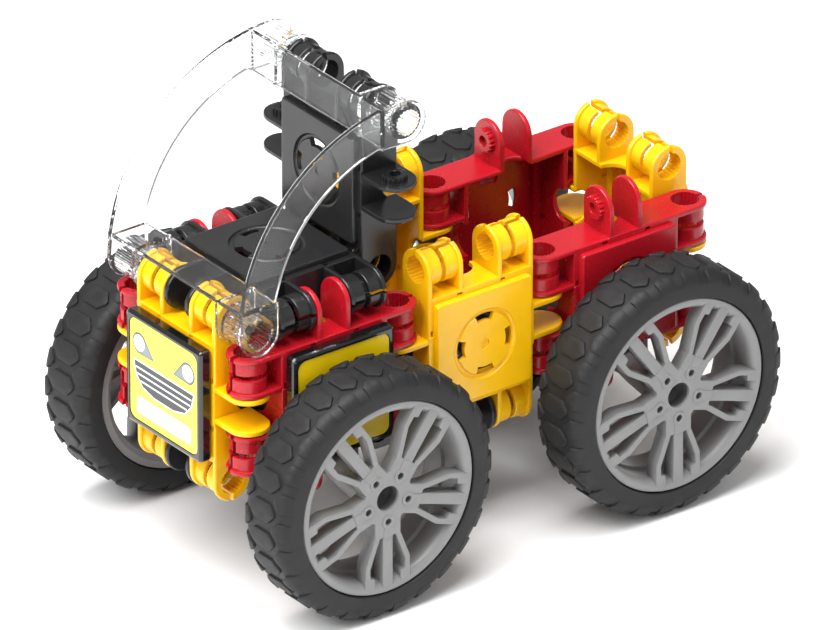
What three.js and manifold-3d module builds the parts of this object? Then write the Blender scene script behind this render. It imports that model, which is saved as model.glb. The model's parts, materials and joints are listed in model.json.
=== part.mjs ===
// A toy pickup car clicked together from square hinge blocks, on four rolling wheels.
// Millimetres, +Z up. The car faces -Y and its axles lie along X. The origin is on the
// ground under the middle of the car.
import * as THREE from "three";
import { mergeVertices } from "three/addons/utils/BufferGeometryUtils.js";
import Module from "manifold-3d";

const wasm = await Module();
wasm.setup();

// ---- Driving dimensions ----

const PITCH = 50; // from one hinge line of a block to the next
const HALF = PITCH / 2;
const GAP = 0.3; // clearance left between separate pieces
const WALL = 1.5;

const BODY = 18; // half width of a block's square body
const HINGE_R = 6.1; // half thickness of a block, and radius of its hinge ends
const REACH = HALF + HINGE_R; // from a block's middle to the tip of an ear or barrel
const BORE_R = 3.9;
const BARREL_IN = 5.9; // inner face of the barrel's inner plates
const EAR_OUT = BARREL_IN - GAP;
const EAR_T = 1.6;
const BOSS_R = BORE_R - GAP;
const BOSS_L = 1.5;
const PANEL = 15.7; // half width of the raised panel
const PANEL_Z = 8; // height of the panel's face above the block's mid-plane
const WINDOW_R = 8.25; // middle of the four windows in the panel
const WINDOW_ACROSS = 2.6; // half width of a window
const WINDOW_DEEP = 1.35; // half depth of a window, outwards from the middle
const NOTCH_R = 5; // round notches in the open back edge

const COVER = 17.2; // half width of a snap-on cover
const COVER_TOP = 10.4;
const STICKER = 15.5; // half width of a sticker
const STICKER_T = 0.35;

const WHEEL_R = 36.9;
const WHEEL_SIDES = 24; // a multiple of four, so that a tyre stands on a flat
const TYRE_IN_X = 36.8; // inner and outer faces of a tyre, from the car's middle
const TYRE_OUT_X = 55.9;
const SHOULDER = 4; // radius of a tyre's rounded edges
const RIM_R = 28.8;
const RIM_WALL = 3.2; // from the outside of a rim to the inside of its barrel
const RIM_FACE = TYRE_OUT_X - 0.5; // outer face of the hub and spokes
const SPOKE_T = 4;
const SPOKE_TURN = (-36 * Math.PI) / 180; // of the first spoke, from straight up
const SPOKE_ROOT = 6; // where a middle prong and its lobe start, from the axle
// A side prong, as [sideways, outwards] points from the hub.
const PRONG = [[2.4, 9], [6.65, 20], [6.65, RIM_R - RIM_WALL + 0.8]];
const PRONG_W = 1.85;
const MIDDLE_PRONG_W = 3.3;
const LOBE_W = 8.7; // of the hub plate at the root of each spoke
const LOBE_REACH = 11.7;
const AXLE_R = 2.5;
const AXLE_END = 47;
const AXLE_PLAY = 0.35; // clearance of an axle in its bearing
const AXLE_Z = -22.6; // axle height, from the middle of the side blocks
const SLEEVE_R = 3.6;
const HUB_R = 8.3;
const BEARING_R = 4.6;

const LUG_R = 6.3;
const LUG_TUBE_R = 5.2;
const ARC_IN = 45.5; // inner and outer radius of the canopy's curved side strips
const ARC_OUT = 56.7;
const STRIP_X = 29.2; // inner face of a side strip
const STRIP_T = 1.8;
const LUG_IN_X = BODY + GAP;
const SCREEN_HALF = 6; // half width of the canopy's cross panels
const SCREEN_IN = 7; // cross panel's inner face, from the hinge axis
const SCREEN_T = 1.5;

const GROUND = WHEEL_R - AXLE_Z; // height of the side blocks' middle above the ground

// ---- Materials ----

const plastic = (color, roughness) =>
  new THREE.MeshStandardMaterial({ color, roughness, metalness: 0 });
const red = plastic(0xc8202f, 0.3);
const yellow = plastic(0xf5c518, 0.3);
const black = plastic(0x1c1c1e, 0.3);
const gloss = plastic(0x0c0c0d, 0.12);
const frontPrint = plastic(0xf7dd1e, 0.25);
const sidePrint = plastic(0xdcb90a, 0.35);
const rimGrey = plastic(0x9a9a9c, 0.35);
const rubber = plastic(0x2c2c2d, 0.7);
const clear = plastic(0xeef2f4, 0.05);
clear.transparent = true;
clear.opacity = 0.35;
const steel = new THREE.MeshStandardMaterial({ color: 0xb9bcc0, roughness: 0.3, metalness: 1 });

// ---- Solids ----

const X = new THREE.Vector3(1, 0, 0);
const Y = new THREE.Vector3(0, 1, 0);
const Z = new THREE.Vector3(0, 0, 1);
const UP_TO = {
  x: new THREE.Matrix4().makeBasis(Y, Z, X),
  y: new THREE.Matrix4().makeBasis(Z, X, Y),
  z: new THREE.Matrix4(),
};
const SIDES = [-1, 1];

function solid(geometry) {
  geometry.deleteAttribute("normal");
  geometry.deleteAttribute("uv");
  const merged = mergeVertices(geometry, 1e-4);
  return new wasm.Manifold(new wasm.Mesh({
    numProp: 3,
    vertProperties: Float32Array.from(merged.attributes.position.array),
    triVerts: Uint32Array.from(merged.index.array),
  }));
}

function geometryOf(shape) {
  const { vertProperties, triVerts } = shape.getMesh();
  const geometry = new THREE.BufferGeometry();
  geometry.setAttribute("position", new THREE.Float32BufferAttribute(vertProperties, 3));
  geometry.setIndex(new THREE.BufferAttribute(triVerts, 1));
  geometry.computeVertexNormals();
  return geometry;
}

const join = (shapes) => shapes.reduce((a, b) => a.add(b));
const cut = (shape, tools) => tools.reduce((a, b) => a.subtract(b), shape);

function box([x0, x1], [y0, y1], [z0, z1]) {
  const geometry = new THREE.BoxGeometry(x1 - x0, y1 - y0, z1 - z0);
  return solid(geometry.translate((x0 + x1) / 2, (y0 + y1) / 2, (z0 + z1) / 2));
}

// A flat outline in the plane across an axis, thickened from one place on the axis to another.
// Across x the outline's axes are y, z; across y they are z, x; across z they are x, y.
function slab(outline, axis, [from, to], curveSegments = 3) {
  const geometry = new THREE.ExtrudeGeometry(outline, {
    depth: to - from, bevelEnabled: false, curveSegments,
  });
  return solid(geometry.translate(0, 0, from).applyMatrix4(UP_TO[axis]));
}

// A rod of flat-sided section whose flats stand at the given radius.
function rod(radius, axis, span, [u, v], sides = 10) {
  const outline = new THREE.Shape();
  const corner = radius / Math.cos(Math.PI / sides);
  for (let i = 0; i < sides; i += 1) {
    const angle = ((i + 0.5) * 2 * Math.PI) / sides;
    outline.lineTo(u + corner * Math.cos(angle), v + corner * Math.sin(angle));
  }
  outline.curves.shift();
  return slab(outline, axis, span);
}

// A rod whose corners stand at the given radius, so that it fits inside a rod-shaped bore.
const pin = (radius, axis, span, centre, sides = 8) =>
  rod(radius * Math.cos(Math.PI / sides), axis, span, centre, sides);

// A ring turned about the x axis from a closed loop of [radius, x] points.
function turned(loop, sides) {
  const flat = 1 / Math.cos(Math.PI / sides);
  const points = [...loop, loop[0]].map(([r, x]) => new THREE.Vector2(r * flat, x));
  const geometry = new THREE.LatheGeometry(points, sides, Math.PI / sides);
  return solid(geometry.rotateZ(-Math.PI / 2));
}

// A straight bar whose two ends are half circles.
function stadium(halfLength, radius) {
  const outline = new THREE.Shape();
  outline.absarc(halfLength, 0, radius, -Math.PI / 2, Math.PI / 2);
  outline.absarc(-halfLength, 0, radius, Math.PI / 2, (3 * Math.PI) / 2);
  return outline;
}

// ---- Blocks: x is the ear direction, y the barrel direction, z points out of the panel ----

function blockShell() {
  const square = (half, z) => box([-half, half], [-half, half], z);
  const shell = square(BODY, [-HINGE_R, HINGE_R]).add(square(PANEL, [0, PANEL_Z]));
  return cut(shell, [
    square(BODY - WALL, [-HINGE_R - 1, HINGE_R - WALL]),
    square(PANEL - WALL, [0, PANEL_Z - WALL]),
  ]);
}

function ears() {
  const root = BODY - WALL / 2;
  return join(SIDES.flatMap((end) => SIDES.flatMap((side) => {
    const outline = new THREE.Shape();
    const middle = end * HALF;
    const from = end > 0 ? 0 : Math.PI;
    outline.moveTo(end * HINGE_R, end * root);
    outline.absarc(0, middle, HINGE_R, from, from + Math.PI);
    outline.lineTo(-end * HINGE_R, end * root);
    const faces = [side * (EAR_OUT - EAR_T), side * EAR_OUT].sort((a, b) => a - b);
    const boss = [side * (EAR_OUT - 0.5), side * (EAR_OUT + BOSS_L)].sort((a, b) => a - b);
    return [slab(outline, "y", faces, 3), pin(BOSS_R, "y", boss, [0, middle], 6)];
  })));
}

// Each end of a block has two barrels with a space between them for the next block's ears.
const BARREL_SPANS = [[-BODY, -BARREL_IN], [BARREL_IN, BODY]];

function barrels() {
  const inside = [-BODY + WALL, BODY - WALL];
  const bars = join(BARREL_SPANS.map((span) => slab(stadium(HALF, HINGE_R), "x", span, 4)));
  return bars.subtract(box(inside, inside, [-HINGE_R - 1, HINGE_R - WALL]));
}

function hingeBores() {
  const span = [-BODY - 1, BODY + 1];
  return SIDES.map((end) => rod(BORE_R, "x", span, [end * HALF, 0], 8));
}

function backNotches() {
  return ["x", "y"].map((axis) => {
    const centre = axis === "x" ? [0, -HINGE_R] : [-HINGE_R, 0];
    return rod(NOTCH_R, axis, [-BODY - 1, BODY + 1], centre, 6);
  });
}

function panelWindows() {
  const across = [-WINDOW_ACROSS, WINDOW_ACROSS];
  const z = [0, PANEL_Z + 1];
  return SIDES.flatMap((s) => {
    const along = [s * WINDOW_R - WINDOW_DEEP, s * WINDOW_R + WINDOW_DEEP];
    return [box(along, across, z), box(across, along, z)];
  });
}

function hingeBlock() {
  const body = join([blockShell(), barrels(), ears()]);
  return cut(body, [...hingeBores(), ...backNotches(), ...panelWindows()]);
}

// The axle blocks have ears but no barrels; a bearing tube crosses them above their middle.
function axleBlock() {
  const centre = [AXLE_Z + HALF, 0].map((v) => -v);
  const tube = rod(BEARING_R, "y", [-BODY, BODY], centre, 12);
  const bore = rod(AXLE_R + AXLE_PLAY, "y", [-BODY - 1, BODY + 1], centre, 12);
  const body = cut(join([blockShell(), ears()]), [backNotches()[0], ...panelWindows()]);
  return body.add(tube).subtract(bore);
}

// ---- Covers and stickers, in the frame of the block that carries them ----

function cover() {
  const square = (half, z) => box([-half, half], [-half, half], z);
  return cut(square(COVER, [HINGE_R + GAP, COVER_TOP]), [
    square(PANEL + GAP, [0, PANEL_Z + GAP]),
    square(STICKER + GAP, [COVER_TOP - STICKER_T - GAP, COVER_TOP + 1]),
  ]);
}

function sticker() {
  const half = [-STICKER, STICKER];
  return box(half, half, [COVER_TOP - STICKER_T, COVER_TOP]);
}

// ---- Canopy: hinge lugs on the front axis and on the top of the seat back ----

const FRONT_AXIS = [-3 * HALF, HALF]; // y, z of the canopy's hinge at the front of the hood
const TOP_AXIS = [-HALF, 3 * HALF];
const ARC_CENTRE = [-HALF, HALF];

function sideStrip(x) {
  const outline = new THREE.Shape();
  const [y, z] = ARC_CENTRE;
  outline.absarc(y, z, ARC_OUT, Math.PI / 2, Math.PI, false);
  outline.absarc(y, z, ARC_IN, Math.PI, Math.PI / 2, true);
  return slab(outline, "x", [x, x + STRIP_T], 10);
}

// One end of the canopy, made round the x axis with its cross panel above it: on each side two
// lug plates with a barrel between them. A pinned end has short pins that turn in a block's bores.
function hingeEnd(pinned) {
  const outer = STRIP_X + STRIP_T;
  const outline = new THREE.Shape();
  outline.moveTo(LUG_R, SCREEN_IN + SCREEN_T);
  outline.lineTo(-LUG_R, SCREEN_IN + SCREEN_T);
  outline.absarc(0, 0, LUG_R, Math.PI, 2 * Math.PI);
  const across = [-SCREEN_HALF, SCREEN_HALF];
  const screen = box([-outer, outer], across, [SCREEN_IN, SCREEN_IN + SCREEN_T]);
  const span = (side, a, b) => [side * a, side * b].sort((p, q) => p - q);
  const solids = SIDES.flatMap((side) => [
    slab(outline, "x", span(side, STRIP_X, outer), 4),
    slab(outline, "x", span(side, LUG_IN_X, LUG_IN_X + WALL), 4),
    rod(LUG_TUBE_R, "x", span(side, LUG_IN_X + 0.5, outer - 0.5), [0, 0], 6),
  ]);
  const boreFrom = pinned ? LUG_IN_X + WALL : LUG_IN_X - 1;
  const bores = SIDES.map((side) => rod(BORE_R, "x", span(side, boreFrom, outer + 1), [0, 0], 8));
  const end = cut(join([screen, ...solids]), bores);
  const pinSpan = (side) => span(side, LUG_IN_X + GAP - WALL, LUG_IN_X + 0.5);
  return pinned ? join([end, ...SIDES.map((side) => pin(BOSS_R, "x", pinSpan(side), [0, 0]))]) : end;
}

function atAxis(shape, [y, z], turn) {
  return solid(geometryOf(shape).rotateX(turn).translate(0, y, z));
}

function canopy() {
  const front = atAxis(hingeEnd(true), FRONT_AXIS, 0);
  const top = atAxis(hingeEnd(false), TOP_AXIS, Math.PI / 2);
  const strips = join([sideStrip(STRIP_X), sideStrip(-STRIP_X - STRIP_T)]);
  const bores = [FRONT_AXIS, TOP_AXIS].flatMap((axis) => SIDES.map((side) => {
    const ends = [side * (STRIP_X - 1), side * (STRIP_X + STRIP_T + 1)].sort((p, q) => p - q);
    return rod(BORE_R, "x", ends, axis, 8);
  }));
  return join([cut(strips, bores), front, top]);
}

// ---- Wheels, turned about x; the outer face looks towards +x ----

function rimRing() {
  const lip = TYRE_OUT_X - 0.6;
  return turned([
    [RIM_R, TYRE_IN_X + 1], [RIM_R, lip], [RIM_R - 1.8, lip], [RIM_R - RIM_WALL, lip - 2.4],
    [RIM_R - RIM_WALL, TYRE_IN_X + 3], [RIM_R - 1.8, TYRE_IN_X + 1],
  ], WHEEL_SIDES);
}

// The hub disc, and behind it a sleeve on the axle that widens towards the disc.
function hub() {
  const bore = AXLE_R + GAP;
  const bottom = AXLE_END + GAP;
  const throat = SLEEVE_R + 2.4;
  return turned([
    [bore, LUG_IN_X], [SLEEVE_R, LUG_IN_X], [SLEEVE_R, REACH + 0.5], [SLEEVE_R + 0.8, TYRE_IN_X - 1],
    [throat, RIM_FACE - SPOKE_T - 2], [HUB_R, RIM_FACE - SPOKE_T - 0.5], [HUB_R, RIM_FACE],
    [SLEEVE_R, RIM_FACE], [SLEEVE_R, bottom], [bore, bottom],
  ], 10);
}

// A bar of the spoke pattern between two points given as [sideways, outwards] from the hub.
function spokeBar([u0, r0], [u1, r1], width, turn) {
  const length = Math.hypot(u1 - u0, r1 - r0);
  const geometry = new THREE.BoxGeometry(SPOKE_T, width, length);
  geometry.rotateX(-Math.atan2(u1 - u0, r1 - r0));
  geometry.translate(RIM_FACE - SPOKE_T / 2, (u0 + u1) / 2, (r0 + r1) / 2);
  return solid(geometry.rotateX(turn));
}

// Five three-pronged spokes: a straight middle prong and a bent prong on each side of it.
function spokes() {
  const seat = PRONG.at(-1)[1];
  return join([0, 1, 2, 3, 4].flatMap((k) => {
    const turn = SPOKE_TURN + (k * 2 * Math.PI) / 5;
    const prongs = SIDES.flatMap((side) => PRONG.slice(1).map(([u, r], i) => {
      const [fromU, fromR] = PRONG[i];
      return spokeBar([side * fromU, fromR], [side * u, r], PRONG_W, turn);
    }));
    const lobe = spokeBar([0, SPOKE_ROOT], [0, LOBE_REACH], LOBE_W, turn);
    return [lobe, spokeBar([0, SPOKE_ROOT], [0, seat], MIDDLE_PRONG_W, turn), ...prongs];
  }));
}

const rim = () => join([rimRing(), hub(), spokes()]);

function tyre() {
  const seat = RIM_R + GAP;
  const bend = SHOULDER * (1 - Math.SQRT1_2);
  const shoulder = (edge, inward) => [
    [WHEEL_R - SHOULDER, edge],
    [WHEEL_R - bend, edge + inward * bend],
    [WHEEL_R, edge + inward * SHOULDER],
  ];
  return turned([
    [seat, TYRE_IN_X + 1.4], ...shoulder(TYRE_IN_X, 1),
    ...shoulder(TYRE_OUT_X, -1).reverse(), [seat, TYRE_OUT_X - 0.7],
  ], WHEEL_SIDES);
}

const axle = () => pin(AXLE_R, "x", [-AXLE_END, AXLE_END], [0, 0], 12);

// ---- Assembly ----

const car = new THREE.Group();
car.position.z = GROUND;

function place(name, geometry, material, position, ear = X, out = Z) {
  const mesh = new THREE.Mesh(geometry, material);
  mesh.name = name;
  mesh.position.set(...position);
  const barrel = new THREE.Vector3().crossVectors(out, ear);
  mesh.setRotationFromMatrix(new THREE.Matrix4().makeBasis(ear, barrel, out));
  car.add(mesh);
}

const flipped = (axis) => axis.clone().negate();
const block = geometryOf(hingeBlock());
const coverShape = geometryOf(cover());
const stickerShape = geometryOf(sticker());

for (const [side, sideName] of [[1, "left"], [-1, "right"]]) {
  const out = side > 0 ? X : flipped(X);
  for (const [end, endName] of [[-1, "front"], [1, "rear"]]) {
    place(`red_block_${endName}_${sideName}`, block, red, [side * HALF, end * PITCH, 0], Z, out);
  }
  place(`yellow_block_middle_${sideName}`, block, yellow, [side * HALF, 0, 0], Y, out);
  const corner = [side * HALF, -PITCH, 0];
  place(`cover_${sideName}`, coverShape, gloss, corner, Z, out);
  place(`sticker_${sideName}`, stickerShape, sidePrint, corner, Z, out);
}

const nose = [0, -3 * HALF, 0];
place("yellow_block_front", block, yellow, nose, X, flipped(Y));
place("yellow_block_rear", block, yellow, [0, 3 * HALF, 0], X, Y);
place("cover_front", coverShape, gloss, nose, X, flipped(Y));
place("sticker_front", stickerShape, frontPrint, nose, X, flipped(Y));
place("hood_block", block, black, [0, -PITCH, HALF], Y, Z);
place("seat_back_block", block, black, [0, -HALF, PITCH], X, flipped(Y));
place("floor_block", block, black, [0, 0, -HALF], X, flipped(Z));
place("canopy", geometryOf(canopy()), clear, [0, 0, 0]);

const axleBlockShape = geometryOf(axleBlock());
const shapes = { axle: geometryOf(axle()), rim: geometryOf(rim()), tyre: geometryOf(tyre()) };
for (const [end, endName] of [[-1, "front"], [1, "rear"]]) {
  const y = end * PITCH;
  place(`axle_block_${endName}`, axleBlockShape, black, [0, y, -HALF], Y, flipped(Z));
  place(`axle_${endName}`, shapes.axle, steel, [0, y, AXLE_Z]);
  for (const [side, sideName] of [[1, "left"], [-1, "right"]]) {
    const ear = side > 0 ? X : flipped(X);
    place(`rim_${endName}_${sideName}`, shapes.rim, rimGrey, [0, y, AXLE_Z], ear);
    place(`tyre_${endName}_${sideName}`, shapes.tyre, rubber, [0, y, AXLE_Z], ear);
  }
}

export default car;
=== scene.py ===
import json
import math

import bpy
from mathutils import Matrix, Vector
from mathutils.geometry import tessellate_polygon

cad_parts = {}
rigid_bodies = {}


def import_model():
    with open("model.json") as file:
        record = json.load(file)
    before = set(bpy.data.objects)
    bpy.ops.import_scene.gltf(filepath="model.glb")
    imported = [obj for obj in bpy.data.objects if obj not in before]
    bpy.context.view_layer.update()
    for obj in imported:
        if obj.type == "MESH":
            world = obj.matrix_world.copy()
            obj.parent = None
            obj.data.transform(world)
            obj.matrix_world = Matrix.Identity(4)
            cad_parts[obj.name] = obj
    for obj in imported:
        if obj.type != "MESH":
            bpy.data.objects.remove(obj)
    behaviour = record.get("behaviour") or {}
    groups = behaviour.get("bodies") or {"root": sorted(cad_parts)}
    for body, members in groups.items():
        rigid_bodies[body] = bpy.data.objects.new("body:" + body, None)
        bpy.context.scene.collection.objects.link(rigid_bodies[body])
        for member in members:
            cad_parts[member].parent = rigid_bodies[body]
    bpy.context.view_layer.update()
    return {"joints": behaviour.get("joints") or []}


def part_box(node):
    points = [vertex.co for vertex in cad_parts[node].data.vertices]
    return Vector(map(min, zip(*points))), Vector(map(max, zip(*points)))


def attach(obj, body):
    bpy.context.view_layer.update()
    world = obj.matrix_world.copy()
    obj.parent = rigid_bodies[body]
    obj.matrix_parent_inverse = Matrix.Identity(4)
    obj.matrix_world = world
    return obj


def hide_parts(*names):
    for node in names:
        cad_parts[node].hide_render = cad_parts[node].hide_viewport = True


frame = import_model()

MM = 0.001

# ---- Dimensions, millimetres ----

# Hinge blocks, from their middle; a panel's heights are from the plane of its hinge lines.
PITCH = 50  # from hinge line to hinge line
HALF = PITCH / 2
WALL = 1.5
BODY = 18  # half the width between the hinges
HINGE_R = 6.1
BORE_R = 3.9
RING_R = 5.3
RING_GAP = 1.5
SLIT_W = 1.3
SLIT_LEAN = 7  # degrees, to one side in one half of a barrel and to the other in the other half
BARREL_IN = 5.9  # near end of a barrel
BARREL_MID = (BARREL_IN + BODY) / 2
EAR_OUT = 5.6
EAR_T = 1.6
BOSS_R = 3.6
BOSS_L = 1.5
PANEL = 16.2  # half the raised square
PANEL_Z = 8
NOTCH_R = 5
AXLE_DROP = 2.4  # from the middle of an axle block to its axle, towards its open back
EDGE = 0.3  # rounding, where nothing else is said
PLATE_EDGE = 0.45
CUT_EDGE = 0.02  # cuts are left nearly sharp

# Details of a panel
RING_GROOVE_R = 9.85
RING_GROOVE_HALF = 0.85  # half its width
RING_GROOVE_DEPTH = 0.7
WINDOW_IN = 7
WINDOW_OUT = 9.3
WINDOW_HALF = 20  # degrees to each side of its middle
DIMPLE_R = 1.45
DIMPLE_DEPTH = 0.5
TAB_HALF_W = 1.3
TAB_HALF_L = 6.6
TAB_RISE = 0.25
SLOT_HALF_W = 0.4
SLOT_HALF_L = 0.95
SLOT_INSET = 1.1  # from the frame's edge
SLOT_PLACE = 7.3  # along the edge, from its middle

# Covers and stickers, half their width
COVER = 17.2
COVER_TOP = 10.4
COVER_GAP = 0.3  # between a cover and the panel in it
STICKER = 15.5
STICKER_ROOM = 0.12
STICKER_TOP = COVER_TOP - 0.25
STICKER_BACK = COVER_TOP - 0.7
RECESS = 0.75  # in the cover, for the sticker
PRINT_STEP = 0.04  # from one printed layer to the next

# Wheels; places along x are from the middle of the car.
WHEEL_R = 36.9
TYRE_IN = 36.8
TYRE_OUT = 55.9
SHOULDER = 4
TREAD_DEPTH = 0.75
TREAD_COUNT = 26
RIM_R = 28.8
FACE = TYRE_OUT - 0.6  # of the spokes and the rim's lip
AXLE_R = 2.5
SLEEVE_R = 3.6
SLEEVE_IN = 18.3
SLEEVE_WAIST = 31.5  # where the sleeve starts to widen towards the hub
POCKET = 47.3  # bottom of the pocket in front of the axle
BEARING_R = 4.6

# Canopy
LUG_R = 6.3
LUG_IN = 18.3
STRIP_X = 29.2
STRIP_T = 1.8
STRIP_IN_R = 45.5
STRIP_OUT_R = 56.7
SCREEN_HALF = 6
SCREEN_IN = 7
SCREEN_T = 1.5
CANOPY_EDGE = 0.35

SIDES = (-1, 1)
CAR_SIDES = ((1, "left"), (-1, "right"))
ENDS = ("front", "rear")
X, Y, Z = Vector((1, 0, 0)), Vector((0, 1, 0)), Vector((0, 0, 1))


# ---- Solids as (vertices, faces), in millimetres ----

def basis(a, b, c):
    """The rotation that takes x, y and z to a, b and c."""
    return Matrix((a, b, c)).transposed()


# Across x an outline's axes are y, z; across y they are z, x; across z they are x, y.
ACROSS = {"x": basis(Y, Z, X), "y": basis(Z, X, Y), "z": basis(X, Y, Z)}


def span(a, b):
    return (min(a, b), max(a, b))


def area(loop):
    return sum(loop[i - 1].cross(p) for i, p in enumerate(loop)) / 2


def wound(loop, sign):
    return loop if area(loop) * sign > 0 else list(reversed(loop))


def inset_loop(loop, inset):
    """The closed loop moved to its left."""
    points = []
    for i, p in enumerate(loop):
        a = (p - loop[i - 1]).normalized()
        b = (loop[(i + 1) % len(loop)] - p).normalized()
        left_a, left_b = Vector((-a.y, a.x)), Vector((-b.y, b.x))
        points.append(p + (left_a + left_b) * (inset / (1 + left_a.dot(left_b))))
    return points


def cap(loops, starts, upward):
    """Triangles over the outline and round its holes, as indices of the given loops' vertices."""
    flat = [(start + i, p) for loop, start in zip(loops, starts) for i, p in enumerate(loop)]
    triangles = tessellate_polygon([[p.to_3d() for p in loop] for loop in loops])
    faces = []
    for t in triangles:
        a, b, c = (flat[i][1] for i in t)
        turn = (b - a).cross(c - a)
        if abs(turn) > 1e-9:
            order = t if (turn > 0) == upward else t[::-1]
            faces.append(tuple(flat[i][0] for i in order))
    return faces


def prism(outline, between, holes=(), axis="z", edge=EDGE):
    """An outline with holes, thickened between two places on an axis, with rounded rims."""
    loops = [wound(outline, 1)] + [wound(hole, -1) for hole in holes]
    low, high = between
    turns = [math.radians(a) for a in (0, 45, 90)]
    layers = [(edge * (1 - math.sin(t)), low + edge * (1 - math.cos(t))) for t in turns]
    layers += [(inset, low + high - z) for inset, z in reversed(layers)]
    verts, faces, ends = [], [], []
    for loop in loops:
        start, count = len(verts), len(loop)
        rings = [(inset_loop(loop, inset), z) for inset, z in layers]
        verts += [Vector((p.x, p.y, z)) for ring, z in rings for p in ring]
        for k in range(len(layers) - 1):
            a = start + k * count
            for i in range(count):
                j = (i + 1) % count
                faces.append((a + i, a + j, a + count + j, a + count + i))
        ends.append((rings[0][0], start, rings[-1][0], start + (len(layers) - 1) * count))
    faces += cap([e[0] for e in ends], [e[1] for e in ends], False)
    faces += cap([e[2] for e in ends], [e[3] for e in ends], True)
    return moved((verts, faces), ACROSS[axis].to_4x4())


def turned(loop, steps):
    """A ring turned about the x axis from a closed loop of (radius, x) points."""
    loop = wound([Vector(p) for p in loop], 1)
    count = len(loop)
    verts = []
    for k in range(steps):
        a = 2 * math.pi * k / steps
        verts += [Vector((p.y, p.x * math.cos(a), p.x * math.sin(a))) for p in loop]
    faces = []
    for k in range(steps):
        here, there = k * count, (k + 1) % steps * count
        for i in range(count):
            j = (i + 1) % count
            faces.append((here + i, there + i, there + j, here + j))
    return verts, faces


def moved(shape, matrix):
    verts, faces = shape
    faces = faces if matrix.determinant() > 0 else [f[::-1] for f in faces]
    return [matrix @ v for v in verts], faces


# ---- Outlines ----

def arc(centre, radius, start, end, steps):
    """Points on an arc; the angles are in degrees."""
    angles = [math.radians(start + (end - start) * i / steps) for i in range(steps + 1)]
    u, v = centre
    return [Vector((u + radius * math.cos(a), v + radius * math.sin(a))) for a in angles]


def circle(centre, radius, steps=24):
    return arc(centre, radius, 0, 360, steps)[:-1]


def toothed(centre, outer, inner, teeth):
    """A circle of small teeth between two radii."""
    points = []
    for i in range(teeth):
        for share, radius in ((0, outer), (0.3, outer), (0.5, inner), (0.8, inner)):
            a = 2 * math.pi * (i + share) / teeth
            points.append(Vector(centre) + radius * Vector((math.cos(a), math.sin(a))))
    return points


def rounded(half_u, half_v, radius, steps=4, centre=(0, 0)):
    """A rectangle with round corners."""
    points = []
    for k, (su, sv) in enumerate(((1, 1), (-1, 1), (-1, -1), (1, -1))):
        corner = (centre[0] + su * (half_u - radius), centre[1] + sv * (half_v - radius))
        points += arc(corner, radius, 90 * k, 90 * (k + 1), steps)
    return points


def tongue(root, reach, radius, end):
    """A plate along u from its root to a round end about (reach, 0), mirrored for end -1."""
    points = [Vector((root, -radius)), *arc((reach, 0), radius, -90, 90, 12), Vector((root, radius))]
    return [Vector((end * p.x, p.y)) for p in points]


def swapped(loop):
    return [Vector((p.y, p.x)) for p in loop]


def stroke(points, widths):
    """A band along a line of points, as wide at each as its width says."""
    points = [Vector(p) for p in points]
    left, right = [], []
    for i, p in enumerate(points):
        d = (points[min(i + 1, len(points) - 1)] - points[max(i - 1, 0)]).normalized()
        side = Vector((-d.y, d.x)) * widths[i] / 2
        left.append(p + side)
        right.append(p - side)
    return left + right[::-1]


# ---- Objects ----

def mesh_of(name, shape):
    mesh = bpy.data.meshes.new(name)
    mesh.from_pydata([v * MM for v in shape[0]], [], shape[1])
    mesh.validate()
    return mesh


def merged(shapes):
    verts, faces = [], []
    for v, f in shapes:
        base = len(verts)
        verts += v
        faces += [tuple(i + base for i in face) for face in f]
    return verts, faces


def fused(name, solids, cuts=(), added=(), sharp=20):
    """One closed mesh: the solids joined, the cuts taken out and the rest added."""
    scene = bpy.context.scene.collection
    groups = []
    for shapes, operation in ((solids[1:], "UNION"), (cuts, "DIFFERENCE"), (added, "UNION")):
        group = bpy.data.collections.new(name)
        for shape in shapes:
            group.objects.link(bpy.data.objects.new(name, mesh_of(name, shape)))
        groups.append((group, operation))
        scene.children.link(group)
    base = bpy.data.objects.new(name, mesh_of(name, solids[0]))
    scene.objects.link(base)
    for group, operation in groups:
        if group.objects:
            boolean = base.modifiers.new(name, "BOOLEAN")
            boolean.operand_type = "COLLECTION"
            boolean.collection = group
            boolean.operation = operation
            boolean.solver = "EXACT"
    bpy.context.view_layer.update()
    evaluated = base.evaluated_get(bpy.context.evaluated_depsgraph_get())
    mesh = bpy.data.meshes.new_from_object(evaluated)
    for group, _ in groups:
        for helper in list(group.objects):
            bpy.data.objects.remove(helper)
        bpy.data.collections.remove(group)
    bpy.data.objects.remove(base)
    mesh.validate()
    smooth(mesh, sharp)
    return mesh


def smooth(mesh, sharp):
    mesh.shade_smooth()
    mesh.set_sharp_from_angle(angle=math.radians(sharp))


def show(name, mesh, material, node, body, matrix):
    """Puts a piece in place of a CAD node, or of none, riding on a body."""
    mesh = mesh.copy()
    mesh.materials.clear()
    mesh.materials.append(material)
    mesh.transform(matrix)
    piece = bpy.data.objects.new(name, mesh)
    bpy.context.scene.collection.objects.link(piece)
    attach(piece, body)
    if node:
        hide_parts(node)


# ---- Materials ----

def node_material(name):
    """A new material with its nodes, its links and its shader."""
    material = bpy.data.materials.new(name)
    material.use_nodes = True
    nodes, links = material.node_tree.nodes, material.node_tree.links
    return material, nodes, links, nodes["Principled BSDF"]


def noise(nodes, links, scale, detail=3, stretch=None):
    """A noise texture in object space, in features per metre."""
    coordinates = nodes.new("ShaderNodeTexCoord")
    texture = nodes.new("ShaderNodeTexNoise")
    texture.inputs["Scale"].default_value = scale
    texture.inputs["Detail"].default_value = detail
    source = coordinates.outputs["Object"]
    if stretch:
        mapping = nodes.new("ShaderNodeMapping")
        mapping.inputs["Scale"].default_value = stretch
        links.new(source, mapping.inputs["Vector"])
        source = mapping.outputs["Vector"]
    links.new(source, texture.inputs["Vector"])
    return texture.outputs["Fac"]


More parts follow.
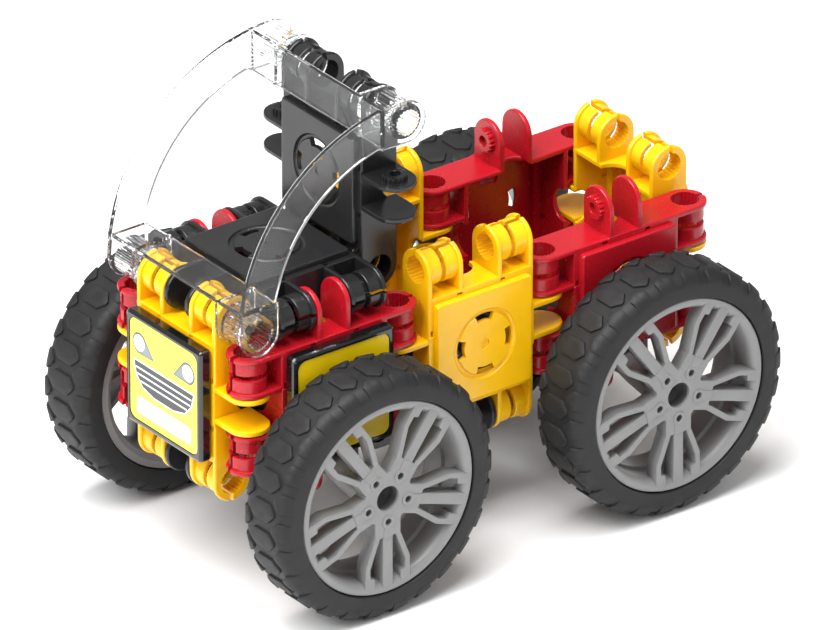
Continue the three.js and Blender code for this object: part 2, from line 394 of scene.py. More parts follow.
def ranged(nodes, links, value, low, high):
    """A 0 to 1 value, most of it between 0.3 and 0.7, spread over low to high."""
    spread = nodes.new("ShaderNodeMapRange")
    spread.inputs["From Min"].default_value = 0.3
    spread.inputs["From Max"].default_value = 0.7
    spread.inputs["To Min"].default_value = low
    spread.inputs["To Max"].default_value = high
    links.new(value, spread.inputs["Value"])
    return spread.outputs["Result"]


def tinted(nodes, links, value, dark, light):
    ramp = nodes.new("ShaderNodeValToRGB")
    ramp.color_ramp.elements[0].position = 0.35
    ramp.color_ramp.elements[0].color = (*dark, 1)
    ramp.color_ramp.elements[1].position = 0.65
    ramp.color_ramp.elements[1].color = (*light, 1)
    links.new(value, ramp.inputs["Fac"])
    return ramp.outputs["Color"]


def bump(nodes, links, shader, heights, distance):
    """Bumps of small height, one texture after another."""
    normal = None
    for value, strength in heights:
        node = nodes.new("ShaderNodeBump")
        node.inputs["Strength"].default_value = strength
        node.inputs["Distance"].default_value = distance
        links.new(value, node.inputs["Height"])
        if normal:
            links.new(normal, node.inputs["Normal"])
        normal = node.outputs["Normal"]
    links.new(normal, shader.inputs["Normal"])


def linear(rgb):
    """Display colour, 0 to 255, to scene colour."""
    return tuple(((c / 255 + 0.055) / 1.055) ** 2.4 if c > 10 else c / 255 / 12.92 for c in rgb)


def moulded(name, rgb, gloss, variation=0.03, coat=0.0):
    """Injection-moulded plastic: slight cloudiness, flow waviness and fine mould texture."""
    material, nodes, links, shader = node_material(name)
    colour = linear(rgb)
    dark = tuple(c * (1 - variation) for c in colour)
    light = tuple(min(1, c * (1 + variation)) for c in colour)
    cloud = noise(nodes, links, 90, 2)
    links.new(tinted(nodes, links, cloud, dark, light), shader.inputs["Base Color"])
    wear = noise(nodes, links, 700, 5)
    links.new(ranged(nodes, links, wear, gloss - 0.015, gloss + 0.02), shader.inputs["Roughness"])
    shader.inputs["IOR"].default_value = 1.46
    shader.inputs["Coat Weight"].default_value = coat
    shader.inputs["Coat Roughness"].default_value = 0.06
    flow = noise(nodes, links, 160, 1)
    grain = noise(nodes, links, 6000, 2)
    bump(nodes, links, shader, ((flow, 0.03), (grain, 0.015)), 0.0004)
    return material


def rubber_material():
    material, nodes, links, shader = node_material("tyre_rubber")
    dust = noise(nodes, links, 260, 6)
    colour = tinted(nodes, links, dust, linear((25, 25, 26)), linear((30, 30, 31)))
    links.new(colour, shader.inputs["Base Color"])
    links.new(ranged(nodes, links, dust, 0.5, 0.66), shader.inputs["Roughness"])
    shader.inputs["IOR"].default_value = 1.4
    bump(nodes, links, shader, ((noise(nodes, links, 2500, 4), 0.1),), 0.0002)
    return material


def clear_material():
    material, nodes, links, shader = node_material("clear_plastic")
    haze = noise(nodes, links, 500, 3)
    colour = tinted(nodes, links, haze, (0.95, 0.96, 0.965), (0.98, 0.985, 0.985))
    links.new(colour, shader.inputs["Base Color"])
    shader.inputs["Roughness"].default_value = 0
    shader.inputs["Transmission Weight"].default_value = 0.99
    shader.inputs["IOR"].default_value = 1.26
    bump(nodes, links, shader, ((noise(nodes, links, 120, 1), 0.01),), 0.0003)
    return material


def steel_material():
    material, nodes, links, shader = node_material("axle_steel")
    drawn = noise(nodes, links, 900, 4, stretch=(0.05, 1, 1))
    colour = tinted(nodes, links, drawn, (0.5, 0.51, 0.53), (0.66, 0.67, 0.69))
    links.new(colour, shader.inputs["Base Color"])
    links.new(ranged(nodes, links, drawn, 0.2, 0.36), shader.inputs["Roughness"])
    shader.inputs["Metallic"].default_value = 1
    bump(nodes, links, shader, ((drawn, 0.1),), 0.0001)
    return material


RED = moulded("red_plastic", (172, 19, 32), 0.26)
YELLOW = moulded("yellow_plastic", (242, 184, 12), 0.24)
BLACK = moulded("black_plastic", (31, 31, 32), 0.25, 0.08)
GLOSS = moulded("gloss_black", (16, 16, 17), 0.1, 0.15, coat=0.6)
FRONT_PRINT = moulded("front_print", (252, 246, 60), 0.2, 0.02, coat=0.3)
SIDE_PRINT = moulded("side_print", (236, 200, 10), 0.3, 0.03, coat=0.2)
RIM_GREY = moulded("rim_grey", (127, 127, 127), 0.34, 0.03)
LAMP_WHITE = moulded("lamp_white", (236, 240, 244), 0.2, 0.02)
LENS_BLUE = moulded("lens_blue", (176, 216, 228), 0.2, 0.02)
LAMP_GREY = moulded("lamp_grey", (128, 136, 144), 0.2, 0.05)
INK = moulded("ink", (62, 62, 64), 0.3, 0.08)
RUBBER = rubber_material()
CLEAR = clear_material()
STEEL = steel_material()


# ---- Hinge blocks: x is the ear direction, y the barrel direction, z points out of the panel ----

def notched_wall(half, round_ends):
    """A side wall in u, v with a round notch in its back edge at v = -HINGE_R."""
    notch = arc((0, -HINGE_R), NOTCH_R, 180, 0, 14)
    if round_ends:
        right = arc((half, 0), HINGE_R, -90, 90, 20)
        left = arc((-half, 0), HINGE_R, 90, 270, 20)
    else:
        right = [Vector((half, -HINGE_R)), Vector((half, HINGE_R))]
        left = [Vector((-half, HINGE_R)), Vector((-half, -HINGE_R))]
    return right + left + notch


def side_plates():
    outline = notched_wall(HALF, True)
    return [prism(outline, span(s * (BODY - WALL), s * BODY), (), "x", PLATE_EDGE) for s in SIDES]


def decks(notched=True):
    """The two walls across y, with or without a notch."""
    half = BODY - 0.2
    plain = [Vector((u, v)) for u, v in
             ((-half, -HINGE_R), (half, -HINGE_R), (half, HINGE_R), (-half, HINGE_R))]
    outline = swapped(notched_wall(half, False) if notched else plain)
    return [prism(outline, span(s * (BODY - WALL), s * BODY), (), "y") for s in SIDES]


def inner_plates():
    """The plate at the near end of each barrel."""
    return [
        prism(tongue(BODY - WALL / 2, HALF, HINGE_R, end), span(s * BARREL_IN, s * (BARREL_IN + WALL)),
              (), "x", PLATE_EDGE)
        for end in SIDES for s in SIDES
    ]


def barrel_rings():
    """A pair of discs in each barrel, apart in the middle; the bores make rings of them."""
    rings = []
    for end in SIDES:
        disc = circle((end * HALF, 0), RING_R, 40)
        for s in SIDES:
            near = span(s * (BARREL_IN + WALL - 0.5), s * (BARREL_MID - RING_GAP / 2))
            far = span(s * (BARREL_MID + RING_GAP / 2), s * (BODY - WALL + 0.5))
            rings += [prism(disc, near, (), "x"), prism(disc, far, (), "x")]
    return rings


def barrel_cuts():
    """The toothed bores, and the slits that lean one way and then the other along a barrel."""
    cuts = []
    for end in SIDES:
        centre = Vector((end * HALF, 0))
        for s in SIDES:
            bore = toothed(centre, BORE_R + 0.2, BORE_R + 0.02, 24)
            cuts.append(prism(bore, span(s * (BARREL_IN - 1), s * (BODY + 1)), (), "x", CUT_EDGE))
            for lean, stretch in ((-s, (BARREL_IN - 1, BARREL_MID)), (s, (BARREL_MID, BODY + 1))):
                a = math.radians(lean * SLIT_LEAN)
                out = Vector((end * math.cos(a), math.sin(a)))
                slit = stroke([centre + out * (BORE_R - 1), centre + out * (HINGE_R + 1)], [SLIT_W] * 2)
                cuts.append(prism(slit, span(s * stretch[0], s * stretch[1]), (), "x", CUT_EDGE))
    return cuts


def ear_plates():
    """Two ears on each side, each with a toothed boss that has a blind hole."""
    plates = []
    for end in SIDES:
        outline = swapped(tongue(BODY - WALL / 2, HALF, HINGE_R, end))
        centre = (0, end * HALF)
        for s in SIDES:
            plates.append(prism(outline, span(s * (EAR_OUT - EAR_T), s * EAR_OUT), (), "y", 0.4))
            boss = toothed(centre, BOSS_R, BOSS_R - 0.4, 16)
            hole = circle(centre, 1.6, 20)
            reach = span(s * (EAR_OUT - 0.4), s * (EAR_OUT + BOSS_L))
            plates.append(prism(boss, reach, [hole], "y", 0.2))
    return plates


def square(half, radius):
    return rounded(half, half, radius)


def panel():
    """The flange sheet and the raised square."""
    return [
        prism(square(BODY - 0.1, 0.6), (HINGE_R - WALL, HINGE_R)),
        prism(square(PANEL, 0.9), (HINGE_R - WALL + 0.1, PANEL_Z), edge=0.4),
    ]


def sector(inner, outer, middle, half):
    """Part of a ring, between two radii and within half an angle of its middle, in degrees."""
    near, far = (arc((0, 0), r, middle - half, middle + half, 8) for r in (inner, outer))
    return far + near[::-1]


def turned_groove():
    """A shallow round-bottomed groove about the panel's middle."""
    middle, half = RING_GROOVE_R, RING_GROOVE_HALF
    turns = [math.radians(a) for a in range(180, 361, 20)]
    bottom = [(middle + half * math.cos(t), PANEL_Z + RING_GROOVE_DEPTH * math.sin(t)) for t in turns]
    loop = bottom + [(middle + half, PANEL_Z + 1), (middle - half, PANEL_Z + 1)]
    return moved(turned(loop, 72), basis(Z, X, Y).to_4x4())


def panel_cuts():
    """The hollow behind, a round groove, four windows and a dimple."""
    cuts = [
        prism(square(PANEL - WALL - 0.6, 0.5), (-HINGE_R, PANEL_Z - WALL), edge=0.05),
        prism(circle((0, 0), DIMPLE_R, 24), (PANEL_Z - DIMPLE_DEPTH, PANEL_Z + 1), edge=0.04),
        turned_groove(),
    ]
    for k in range(4):
        window = sector(WINDOW_IN, WINDOW_OUT, 90 * k, WINDOW_HALF)
        cuts.append(prism(window, (PANEL_Z - WALL - 1, PANEL_Z + 1), edge=CUT_EDGE))
    return cuts


def edge_tabs():
    """A low tab in the middle of each side of the frame."""
    tabs = []
    for s in SIDES:
        outline = rounded(TAB_HALF_W, TAB_HALF_L, 0.4, 2, (s * (BODY - TAB_HALF_W), 0))
        for shape in (outline, swapped(outline)):
            tabs.append(prism(shape, (HINGE_R - 1, HINGE_R + TAB_RISE), (), "z", 0.15))
    return tabs


def edge_slots():
    """A slot at each end of each tab."""
    slots = []
    for s in SIDES:
        for t in SIDES:
            centre = (s * (BODY - SLOT_INSET), t * SLOT_PLACE)
            outline = rounded(SLOT_HALF_W, SLOT_HALF_L, 0.2, 2, centre)
            for shape in (outline, swapped(outline)):
                slots.append(prism(shape, (HINGE_R - 3.2, HINGE_R + 2), (), "z", CUT_EDGE))
    return slots


def hinge_block_mesh():
    solids = [*side_plates(), *decks(), *inner_plates(), *barrel_rings(), *ear_plates(), *panel(),
              *edge_tabs()]
    return fused("hinge_block", solids, [*barrel_cuts(), *edge_slots(), *panel_cuts()])


def axle_block_mesh():
    """A block without barrels, with a bearing tube along y."""
    walls = notched_wall(BODY - 0.1, False)
    sides = [prism(walls, span(s * (BODY - WALL), s * BODY), (), "x") for s in SIDES]
    centre = (-AXLE_DROP, 0)
    bore = circle(centre, AXLE_R + 0.35, 32)
    tube = prism(circle(centre, BEARING_R, 32), (-BODY, BODY), [bore], "y", EDGE)
    holes = prism(circle(centre, BEARING_R - 0.4, 32), (-BODY - 1, BODY + 1), (), "y", 0.05)
    solids = [*sides, *decks(False), *ear_plates(), *panel(), *edge_tabs()]
    return fused("axle_block", solids, [holes, *edge_slots(), *panel_cuts()], [tube])


def block_matrix(node, ear, out):
    """From a block's own axes, in metres, to its place in the car, read from its CAD node."""
    low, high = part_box(node)
    middle = (low + high) / 2
    face = high if sum(out) > 0 else low
    centre = Vector([face[i] if out[i] else middle[i] for i in range(3)]) - out * PANEL_Z * MM
    return Matrix.Translation(centre) @ basis(ear, out.cross(ear), out).to_4x4()


def cover_mesh():
    """A nearly square cap with soft upper edges, sunk a little under its sticker and hollow below."""
    cap_solid = prism(square(COVER, 1.4), (HINGE_R + COVER_GAP, COVER_TOP), edge=0.9)
    room = STICKER + STICKER_ROOM
    recess = prism(rounded(room, room, 2.6, 6), (COVER_TOP - RECESS, COVER_TOP + 1), edge=CUT_EDGE)
    hollow = prism(square(PANEL + COVER_GAP, 1), (HINGE_R - 1, PANEL_Z + COVER_GAP), edge=CUT_EDGE)
    return fused("cover", [cap_solid], [recess, hollow])


def sticker_mesh():
    outline = rounded(STICKER, STICKER, 2.5, 6)
    return fused("sticker", [prism(outline, (STICKER_BACK, STICKER_TOP), (), "z", 0.12)])


# ---- Printed nose: a generic face of lamps, a slatted grille and a blank plate ----

def lamp_outline(side, grow):
    """A lamp that narrows towards the middle of the nose."""
    curve = arc((11, 8.4), 2.9 + grow, -75, 125, 14)
    return [Vector((side * p.x, p.y)) for p in curve] + [Vector((side * (4.7 - grow), 5.6 - grow / 2))]


def nose_print():
    """(name, outline, height, material) of each printed patch, from the bottom up."""
    half = [(13.6, 2.6), (12.4, -1.4), (9.6, -4.4), (4.5, -5.7)]
    grille = wound([Vector(p) for p in half + [(-u, v) for u, v in reversed(half)]], 1)
    patches = [
        ("nose_plate", rounded(12.4, 2.6, 1.2, 4, (0, -10.6)), 1, LAMP_WHITE),
        ("nose_grille_edge", inset_loop(grille, -0.45), 1, LAMP_WHITE),
        ("nose_grille", grille, 2, INK),
    ]
    for k, (v, reach) in enumerate(((0.8, 12.8), (-1.1, 12.2), (-3, 10.6))):
        patches.append((f"nose_slat_{k}", stroke([(-reach, v), (reach, v)], [0.5, 0.5]), 3, LAMP_WHITE))
    for side, name in reversed(CAR_SIDES):
        patches.append((f"nose_lamp_rim_{name}", lamp_outline(side, 0.4), 1, INK))
        patches.append((f"nose_lamp_{name}", lamp_outline(side, 0), 2, LAMP_GREY))
        patches.append((f"nose_reflector_{name}", circle((side * 11.2, 8.5), 2.5, 24), 3, LAMP_WHITE))
        patches.append((f"nose_lens_{name}", circle((side * 10.5, 8.1), 1.3, 20), 4, LENS_BLUE))
    return patches


def make_nose(cover, sticker):
    """The front cover, its sticker and what is printed on that."""
    matrix = block_matrix("yellow_block_front", X, -Y)
    show("nose_cover", cover, GLOSS, "cover_front", "chassis", matrix)
    show("nose_sticker", sticker, FRONT_PRINT, "sticker_front", "chassis", matrix)
    base = STICKER_TOP - 0.02
    for name, outline, height, material in nose_print():
        solid = prism(outline, (base, base + PRINT_STEP * height), (), "z", 0.005)
        mesh = mesh_of(name, solid)
        smooth(mesh, 20)
        show(name, mesh, material, None, "chassis", matrix)


# ---- Canopy ----

CANOPY_OUT = STRIP_X + STRIP_T
CANOPY_TOP = (PITCH, PITCH)  # the top axis: one pitch back and one pitch up from the front one
SCREEN_OUT = SCREEN_IN + SCREEN_T


def canopy_side(s):
    """A side's strip, its double lugs with their tubes, and the pin at the front axis."""
    centre = (PITCH, 0)
    strip = arc(centre, STRIP_OUT_R, 90, 180, 48) + arc(centre, STRIP_IN_R, 180, 90, 48)
    lug = arc((0, 0), LUG_R, 180, 360, 18) + [Vector((LUG_R, SCREEN_OUT)), Vector((-LUG_R, SCREEN_OUT))]
    lug_top = [Vector((CANOPY_TOP[0] - p.y, CANOPY_TOP[1] + p.x)) for p in lug]
    outer_span = span(s * STRIP_X, s * CANOPY_OUT)
    inner_span = span(s * LUG_IN, s * (LUG_IN + WALL))
    tube_span = span(s * (LUG_IN + 0.5), s * (CANOPY_OUT - 0.4))
    solids = [prism(strip, outer_span, (), "x", CANOPY_EDGE)]
    for outline, axis in ((lug, (0, 0)), (lug_top, CANOPY_TOP)):
        solids.append(prism(outline, outer_span, (), "x", CANOPY_EDGE))
        solids.append(prism(outline, inner_span, (), "x", CANOPY_EDGE))
        solids.append(prism(circle(axis, RING_R, 32), tube_span, (), "x", 0.1))
    pin = toothed((0, 0), BOSS_R, BOSS_R - 0.35, 16)
    solids.append(prism(pin, span(s * (BODY - WALL + 0.3), s * (LUG_IN + 0.6)), (), "x", 0.15))
    return solids


def canopy_bores(s):
    """The toothed bores of a side: blind at the front hinge and right through at the top."""
    bore = toothed((0, 0), BORE_R + 0.15, BORE_R - 0.2, 20)
    bore_top = [p + Vector(CANOPY_TOP) for p in bore]
    return [prism(bore, span(s * (LUG_IN + WALL), s * (CANOPY_OUT + 1)), (), "x", CUT_EDGE),
            prism(bore_top, span(s * (LUG_IN - 1), s * (CANOPY_OUT + 1)), (), "x", CUT_EDGE)]


def canopy_mesh():
    """Made about the front hinge axis, with a cross plate at each end."""
    solids = [shape for s in SIDES for shape in canopy_side(s)]
    cuts = [shape for s in SIDES for shape in canopy_bores(s)]
    outline = rounded(CANOPY_OUT - 0.02, SCREEN_HALF, 0.8, 3)
    plate = prism(outline, (SCREEN_IN, SCREEN_OUT), (), "z", CANOPY_EDGE)
    turn = Matrix.Translation((0, *CANOPY_TOP)) @ Matrix.Rotation(math.pi / 2, 4, "X")
    return fused("canopy", [*solids, plate, moved(plate, turn)], cuts)


# ---- Wheels, made about the x axis with the outer face towards +x ----

HUB_TURN = math.radians(-18)  # of the first spoke, so that one of them points straight down
HUB_VALLEY = 8.1  # from the axle to the corner between two lobes
LOBE_HALF = 4.35
LOBE_REACH = 11.8
SEAT = RIM_R - 1.4  # where the spokes end, inside the lip
SPOKE_T = 4.6
BOLT = 7.07  # from the axle to a bolt
BOLT_R = 1  # of a bolt's hole
NECK = BOLT + 1.3  # where the bolt's neck and the middle prong start


def rim_ring():
    """The rim's barrel: a narrow flat lip that rolls inwards, and a soft ledge at the back."""
    inside = RIM_R - 3.4
    lip, across, inwards = 1.1, 2.3, 3.2
    turns = [math.radians(15 * i) for i in range(7)]
    roll = [(RIM_R - lip - across * math.sin(t), FACE - inwards * (1 - math.cos(t))) for t in turns]
    return turned([
        (RIM_R, TYRE_IN + 0.6), (RIM_R, FACE - 0.25), (RIM_R - 0.25, FACE), *roll,
        (inside, FACE - 8), (inside - 0.7, FACE - 8.8), (inside - 0.8, TYRE_IN + 3),
        (inside - 0.2, TYRE_IN + 1.6), (inside + 1.4, TYRE_IN + 0.6),
    ], 120)


def hub_sleeve():
    """A sleeve on the axle, with a wider pocket at its outer end."""
    bore, pocket, foot = AXLE_R + 0.3, SLEEVE_R + 0.05, SLEEVE_R + 2.2
    return turned([
        (bore, SLEEVE_IN), (SLEEVE_R - 0.3, SLEEVE_IN), (SLEEVE_R, SLEEVE_IN + 0.3),
        (SLEEVE_R, SLEEVE_WAIST), (SLEEVE_R + 0.8, TYRE_IN - 1), (foot, FACE - 7), (foot, FACE - 1),
        (pocket, FACE - 1), (pocket, POCKET), (bore, POCKET),
    ], 48)


def on_hub(loop, k):
    """An outline given as (sideways, outwards) turned to the k-th of five places."""
    a = HUB_TURN + 2 * math.pi * k / 5
    out, side = Vector((math.cos(a), math.sin(a))), Vector((-math.sin(a), math.cos(a)))
    return [out * p[1] + side * p[0] for p in loop]


def hub_plate(bolts):
    """A star of five square-ended lobes round the axle's hole."""
    foot = math.sqrt(HUB_VALLEY ** 2 - LOBE_HALF ** 2)
    lobe = [(-LOBE_HALF, foot), (-LOBE_HALF, LOBE_REACH - 0.4), (-LOBE_HALF + 0.9, LOBE_REACH),
            (LOBE_HALF - 0.9, LOBE_REACH), (LOBE_HALF, LOBE_REACH - 0.4), (LOBE_HALF, foot)]
    outline = [p for k in range(5) for p in on_hub(lobe, k)]
    holes = [circle((0, 0), SLEEVE_R + 0.05, 48), *[circle(bolt, BOLT_R, 20) for bolt in bolts]]
    return prism(outline, (FACE - SPOKE_T, FACE), holes, "x", 0.3)


def prongs():
    """The middle prong, and on each side of it a bent prong with a foot that steps inwards."""
    shapes = [[(-1.7, NECK), (1.7, NECK), (1.62, 16), (1.75, SEAT), (-1.75, SEAT), (-1.62, 16)]]
    for s in SIDES:
        prong = [(1.9, 8), (3.4, 8), (4.35, 11.5), (7.5, 19.7), (7.7, SEAT), (4.4, SEAT), (4.4, 23.7),
                 (5.9, 23.2), (5.9, 20.3), (2.75, 12)]
        shapes.append([(s * u, v) for u, v in prong])
    return shapes


def rim_mesh():
    """Barrel, sleeve, hub and spokes; the spokes' faces run out into the lip."""
    bolts = [on_hub([(0, BOLT)], k)[0] for k in range(5)]
    shapes = [rim_ring(), hub_sleeve(), hub_plate(bolts)]
    for k, bolt in enumerate(bolts):
        for outline in prongs():
            shapes.append(prism(on_hub(outline, k), (FACE - SPOKE_T + 0.05, FACE - 0.03), (), "x", 0.25))
        hole = circle(bolt, BOLT_R, 20)
        ring = prism(circle(bolt, 2 * BOLT_R, 28), (FACE - 1, FACE + 0.32), [hole], "x", 0.2)
        neck = [(-1.4, NECK), (1.4, NECK), (1.6, LOBE_REACH), (-1.6, LOBE_REACH)]
        shapes += [ring, prism(on_hub(neck, k), (FACE - 1, FACE + 0.24), (), "x", 0.18)]
    mesh = mesh_of("rim", merged(shapes))
    smooth(mesh, 24)
    return mesh


TREAD_HALF = (TYRE_OUT - TYRE_IN) / 2
TYRE_MID = (TYRE_OUT + TYRE_IN) / 2
FLAT = TREAD_HALF - SHOULDER
WALL_R = WHEEL_R - SHOULDER  # where the flat side of a tyre turns into its shoulder
LUG_END = FLAT + (SHOULDER - TREAD_DEPTH / 2) * math.pi / 2 - 0.1  # at the bottom of a shoulder
PAD_FOOT = -0.5  # foot of a tread pad, below the floor of the tread


def tyre_carcass():
    """The floor of the tread, the round shoulders and the flat sides down to the rim."""
    bend = SHOULDER - TREAD_DEPTH
    curve = []
    for i in range(10):
        t = math.radians(10 * i)
        curve.append((WALL_R + bend * math.cos(t), FLAT + (bend + TREAD_DEPTH * i / 9) * math.sin(t)))
    side = [(WHEEL_R - TREAD_DEPTH, 0), *curve, (RIM_R + 0.5, TREAD_HALF), (RIM_R + 0.3, TREAD_HALF - 0.3)]
    loop = [(r, TYRE_MID + x) for r, x in side] + [(r, TYRE_MID - x) for r, x in reversed(side[1:])]
    return turned(loop, 6 * TREAD_COUNT)


def on_tread(s, t, lift):
    """A point s along the tread's rim and t across it from the middle, over the shoulder."""
    sign = 1 if t >= 0 else -1
    across = abs(t)
    bend = SHOULDER - TREAD_DEPTH + lift
    if across <= FLAT:
        r, x = WALL_R + bend, across
    else:
        a = min((across - FLAT) / (SHOULDER - TREAD_DEPTH / 2), math.pi / 2)
        reach = bend + (TREAD_DEPTH - max(lift, 0)) * a / (math.pi / 2)
        r, x = WALL_R + bend * math.cos(a), FLAT + reach * math.sin(a)
    angle = s / (WHEEL_R - TREAD_DEPTH)
    return Vector((TYRE_MID + sign * x, r * math.cos(angle), r * math.sin(angle)))


def subdivided(loop, longest):
    points = []
    for i, p in enumerate(loop):
        q = loop[(i + 1) % len(loop)]
        n = max(1, math.ceil((q - p).length / longest))
        points += [p.lerp(q, k / n) for k in range(n)]
    return points


def tread_pad(outline):
    """A pad of the tread: its rim, a rounded edge and a top that follows the tyre."""
    loop = wound(subdivided([Vector(p) for p in outline], 1), 1)
    centre = sum(loop, Vector((0, 0))) / len(loop)
    rings = [(0, PAD_FOOT), (0.08, TREAD_DEPTH - 0.2), (0.16, TREAD_DEPTH - 0.06), (0.32, TREAD_DEPTH)]
    verts = []
    for inset, lift in rings:
        verts += [on_tread(p.x, p.y, lift) for p in inset_loop(loop, inset)]
    inner = inset_loop(loop, rings[-1][0])
    verts += [on_tread(*p.lerp(centre, 0.5), TREAD_DEPTH) for p in inner]
    count = len(loop)
    faces = []
    for k in range(len(rings)):
        for i in range(count):
            j = (i + 1) % count
            faces.append((k * count + i, k * count + j, (k + 1) * count + j, (k + 1) * count + i))
    verts.append(on_tread(*centre, TREAD_DEPTH))
    top = len(rings) * count
    faces += [(top + i, top + (i + 1) % count, len(verts) - 1) for i in range(count)]
    verts.append(on_tread(*centre, PAD_FOOT))
    faces += [((i + 1) % count, i, len(verts) - 1) for i in range(count)]
    return verts, faces


def tread_pads():
    """A middle row of hexagons; between them, the same shape reaches out over each shoulder."""
    pads = []
    pitch = 2 * math.pi * (WHEEL_R - TREAD_DEPTH) / TREAD_COUNT
    tip, corner, half, blunt = 5.5, 3.1, 2.85, 0.45
    start = 4.5  # of the outer lugs, from the middle of the tread
    for k in range(TREAD_COUNT):
        m = k * pitch
        s = m + pitch / 2
        hexagon = [(s - blunt, tip), (s + blunt, tip), (s + half, corner), (s + half, -corner),
                   (s + blunt, -tip), (s - blunt, -tip), (s - half, -corner), (s - half, corner)]
        pads.append(hexagon)
        widest = start + tip - corner
        lug = [(m - blunt, start), (m + blunt, start), (m + half, widest),
               (m + half * 0.9, LUG_END), (m - half * 0.9, LUG_END), (m - half, widest)]
        for side in SIDES:
            pads.append([(u, side * v) for u, v in lug])
    return pads


def tyre_mesh():
    shapes = [tyre_carcass(), *[tread_pad(outline) for outline in tread_pads()]]
    mesh = mesh_of("tyre", merged(shapes))
    smooth(mesh, 32)
    return mesh


def axle_mesh():
    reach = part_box("axle_front")[1].x / MM
    rod = prism(circle((0, 0), AXLE_R * 0.96, 32), (-reach, reach), (), "x", 0.35)
    return fused("axle", [rod])


# ---- The car ----

def wheel_matrix(node, side):
    """A wheel's place: about its axle, turned round for the car's right side."""
    low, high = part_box(node)
    centre = (low + high) / 2
    turn = Matrix.Identity(4) if side > 0 else Matrix.Rotation(math.pi, 4, "Z")
    return Matrix.Translation((0, centre.y, centre.z)) @ turn


def show_block(node, mesh, material, ear, out, body="chassis"):
    """A block in place of its CAD node; its ears lie along one axis and its panel faces another."""
    show(node + "_shell", mesh, material, node, body, block_matrix(node, ear, out))


def make_side(block, cover, sticker, side, name):
    """Two red blocks and a yellow one, with a cover and a sticker on the front one."""
    out = X * side
    for end in ENDS:
        show_block(f"red_block_{end}_{name}", block, RED, Z, out)
    show_block(f"yellow_block_middle_{name}", block, YELLOW, Y, out)
    matrix = block_matrix(f"red_block_front_{name}", Z, out)
    show(f"side_cover_{name}", cover, GLOSS, f"cover_{name}", "chassis", matrix)
    show(f"side_sticker_{name}", sticker, SIDE_PRINT, f"sticker_{name}", "chassis", matrix)


def make_blocks():
    block, axle_block = hinge_block_mesh(), axle_block_mesh()
    cover, sticker = cover_mesh(), sticker_mesh()
    for side, name in CAR_SIDES:
        make_side(block, cover, sticker, side, name)
    show_block("yellow_block_front", block, YELLOW, X, -Y)
    show_block("yellow_block_rear", block, YELLOW, X, Y)
    make_nose(cover, sticker)
    show_block("hood_block", block, BLACK, Y, Z)
    show_block("floor_block", block, BLACK, X, -Z)
    show_block("seat_back_block", block, BLACK, X, -Y, "seat_back")
    for end in ENDS:
        show_block(f"axle_block_{end}", axle_block, BLACK, Y, -Z)


def make_wheels():
    rim, tyre, axle = rim_mesh(), tyre_mesh(), axle_mesh()
    for end in ENDS:
        node, body = f"axle_{end}", f"{end}_wheels"
        show(f"axle_rod_{end}", axle, STEEL, node, body, wheel_matrix(node, 1))
        for side, name in CAR_SIDES:
            matrix = wheel_matrix(node, side)
            show(f"wheel_rim_{end}_{name}", rim, RIM_GREY, f"rim_{end}_{name}", body, matrix)
            show(f"wheel_tyre_{end}_{name}", tyre, RUBBER, f"tyre_{end}_{name}", body, matrix)


def make_canopy():
    hinge = next(j for j in frame["joints"] if j["name"] == "canopy_hinge")
    matrix = Matrix.Translation(hinge["pos_m"])
    show("clear_canopy", canopy_mesh(), CLEAR, "canopy", "canopy", matrix)


# ---- Studio ----

AZIMUTH = 53.1  # degrees, from the car's front towards its left
ELEVATION = 27.8
LENS = 1000  # millimetres, so long that the view is nearly parallel
SENSOR = 36
FRAME_WIDTH = 0.2274  # metres across the picture at the car
AIM = Vector((0, 0, 0.0544))
FLOOR_HALF = 12  # metres


def away(azimuth, elevation):
    """The unit vector from the car towards a camera or lamp."""
    a, e = math.radians(azimuth), math.radians(elevation)
    return Vector((math.sin(a) * math.cos(e), -math.cos(a) * math.cos(e), math.sin(e)))


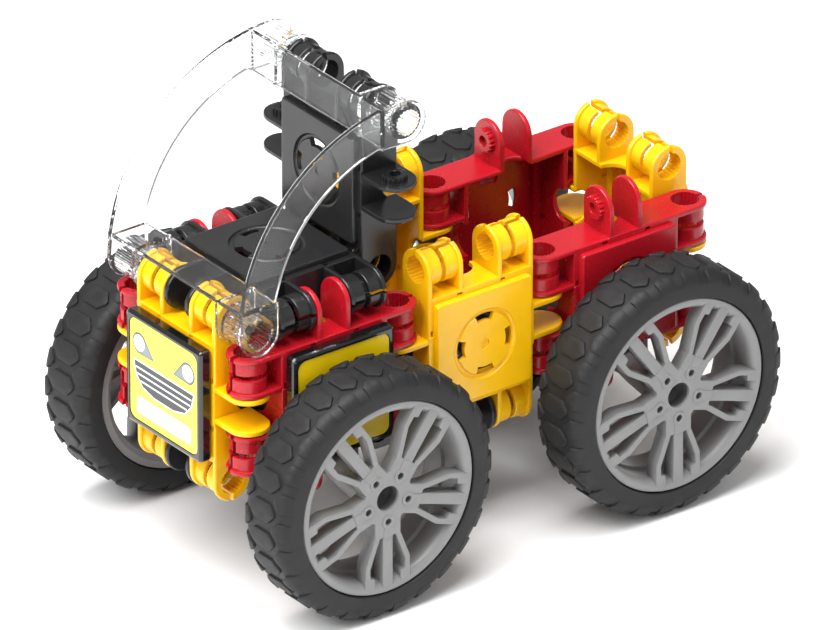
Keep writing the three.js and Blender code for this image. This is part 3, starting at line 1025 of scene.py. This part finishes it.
def make_camera():
    camera = bpy.data.objects.new("camera", bpy.data.cameras.new("camera"))
    bpy.context.scene.collection.objects.link(camera)
    camera.data.lens = LENS
    camera.data.sensor_width = SENSOR
    back = away(AZIMUTH, ELEVATION)
    distance = FRAME_WIDTH * LENS / SENSOR
    camera.location = AIM + back * distance
    camera.rotation_mode = "QUATERNION"
    camera.rotation_quaternion = (-back).to_track_quat("-Z", "Y")
    camera.data.clip_start, camera.data.clip_end = 0.01, 100
    bpy.context.scene.camera = camera


def soft_lamp(name, azimuth, elevation, distance, size, power):
    """A square lamp turned to the car; angles in degrees, sizes in metres, power in watts."""
    lamp = bpy.data.lights.new(name, "AREA")
    lamp.shape = "SQUARE"
    lamp.size = size
    lamp.energy = power
    holder = bpy.data.objects.new(name, lamp)
    back = away(azimuth, elevation)
    holder.location = AIM + back * distance
    holder.rotation_mode = "QUATERNION"
    holder.rotation_quaternion = (-back).to_track_quat("-Z", "Y")
    bpy.context.scene.collection.objects.link(holder)


def floor_material():
    material, nodes, links, shader = node_material("pale_floor")
    tone = tinted(nodes, links, noise(nodes, links, 3, 2), (0.9, 0.9, 0.9), (0.93, 0.93, 0.93))
    links.new(tone, shader.inputs["Base Color"])
    shader.inputs["Roughness"].default_value = 0.9
    return material


def make_floor():
    mesh = bpy.data.meshes.new("floor")
    corners = [(u * FLOOR_HALF, v * FLOOR_HALF, 0) for u, v in ((-1, -1), (1, -1), (1, 1), (-1, 1))]
    mesh.from_pydata(corners, [], [(0, 1, 2, 3)])
    mesh.materials.append(floor_material())
    floor = bpy.data.objects.new("floor", mesh)
    bpy.context.scene.collection.objects.link(floor)


def make_lights():
    """White light all round, three soft lamps, and colours shown as they are."""
    world = bpy.data.worlds.new("studio")
    bpy.context.scene.world = world
    world.use_nodes = True
    world.node_tree.nodes["Background"].inputs["Color"].default_value = (1, 1, 1, 1)
    world.node_tree.nodes["Background"].inputs["Strength"].default_value = 0.42
    soft_lamp("top", 20, 75, 0.9, 0.7, 14)
    soft_lamp("key", 5, 40, 1.0, 0.5, 7)
    soft_lamp("side", 100, 35, 1.1, 0.6, 1.6)
    bpy.context.scene.view_settings.view_transform = "Standard"


make_camera()
make_floor()
make_lights()
make_blocks()
make_wheels()
make_canopy()
